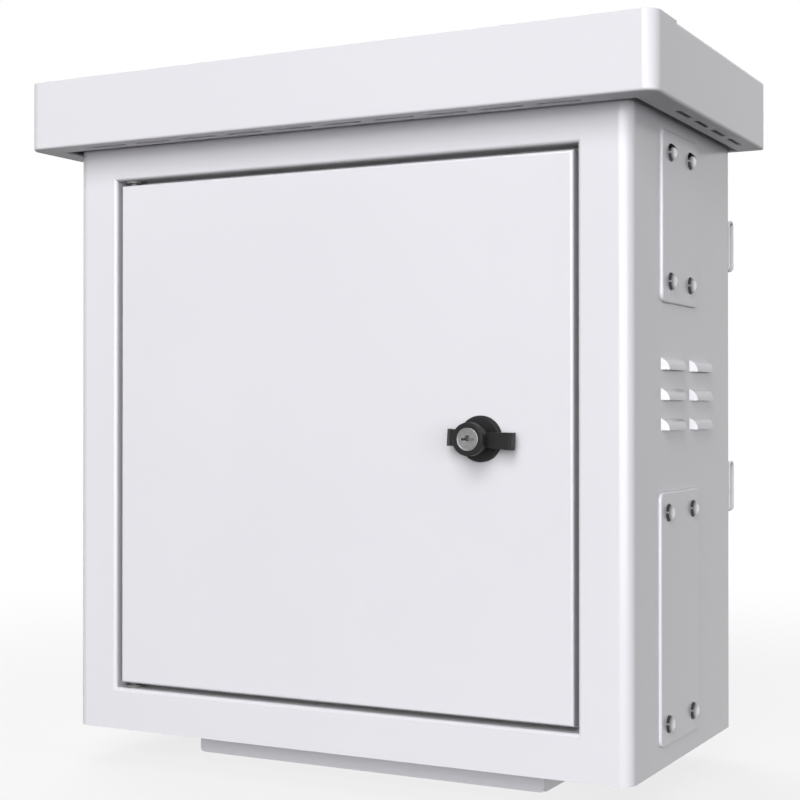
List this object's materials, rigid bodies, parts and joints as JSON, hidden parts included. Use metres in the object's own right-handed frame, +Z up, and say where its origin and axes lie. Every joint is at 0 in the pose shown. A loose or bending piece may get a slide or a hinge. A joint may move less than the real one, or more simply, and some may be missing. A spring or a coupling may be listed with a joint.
{
  "type": "roadside utility cabinet",
  "caption": "Wall-hung outdoor steel cabinet with an inset hinged door, wing knob lock, drip roof with air slots, side louvres and screwed side covers.",
  "frame": {"origin": "middle of the overall box at its foot, on the lower edge of the cable tray", "axes": "+Z up, +Y from the door to the wall behind, +X to the right as seen from the front"},
  "size_m": [0.67, 0.3504, 0.689],
  "materials": {
    "painted_steel": "light grey powder coat, satin",
    "zinc_steel": "zinc plated",
    "bright_steel": "polished stainless",
    "black_steel": "blackened",
    "cylinder_metal": "satin nickel",
    "lock_plastic": "fine matt moulding",
    "bush_plastic": "grey moulding, low friction",
    "rubber": "matt",
    "stud_brass": "turned"
  },
  "bodies": {
    "cabinet": {"body_wrap": "painted_steel", "back_panel": "painted_steel", "top_panel": "painted_steel", "floor_panel": "painted_steel", "roof_cap": "painted_steel", "roof_sleeves": "zinc_steel", "roof_studs": "zinc_steel", "roof_nuts": "zinc_steel", "gland_tray": "painted_steel", "cable_grommets": "rubber", "tray_screws": "zinc_steel", "tray_nuts": "zinc_steel", "side_cover_upper": "painted_steel", "side_cover_lower": "painted_steel", "cover_screws_upper": "bright_steel", "cover_screws_lower": "bright_steel", "cover_nuts_upper": "zinc_steel", "cover_nuts_lower": "zinc_steel", "bracket_upper_right": "painted_steel", "bracket_upper_left": "painted_steel", "bracket_lower_right": "painted_steel", "bracket_lower_left": "painted_steel", "bracket_rivets": "zinc_steel", "mounting_plate": "zinc_steel", "plate_studs": "zinc_steel", "plate_nuts": "zinc_steel", "earth_stud": "stud_brass", "earth_nut": "stud_brass", "hinge_bush_upper": "bush_plastic", "hinge_bush_lower": "bush_plastic"},
    "door": {"door_panel": "painted_steel", "door_gasket": "rubber", "hinge_pin_upper": "black_steel", "hinge_pin_lower": "black_steel", "hinge_nuts": "zinc_steel", "lock_base": "lock_plastic", "lock_nut": "zinc_steel", "door_earth_stud": "stud_brass", "door_earth_nut": "stud_brass"},
    "handle": {"wing_handle": "lock_plastic", "lock_cam": "zinc_steel", "cam_screw": "zinc_steel"},
    "key_cylinder": {"key_plug": "cylinder_metal"}
  },
  "joints": [
    {"name": "door_swing", "type": "hinge", "parent": "cabinet", "child": "door", "pos_m": [-0.236, -0.12775, 0.33], "axis": [0, 0, -1], "range_deg": [0, 110]},
    {"name": "handle_turn", "type": "hinge", "parent": "door", "child": "handle", "pos_m": [0.158, -0.13675, 0.3285], "axis": [0, 1, 0], "range_deg": [0, 90]},
    {"name": "key_turn", "type": "hinge", "parent": "handle", "child": "key_cylinder", "pos_m": [0.158, -0.13675, 0.3285], "axis": [0, 1, 0], "range_deg": [0, 90]}
  ]
}
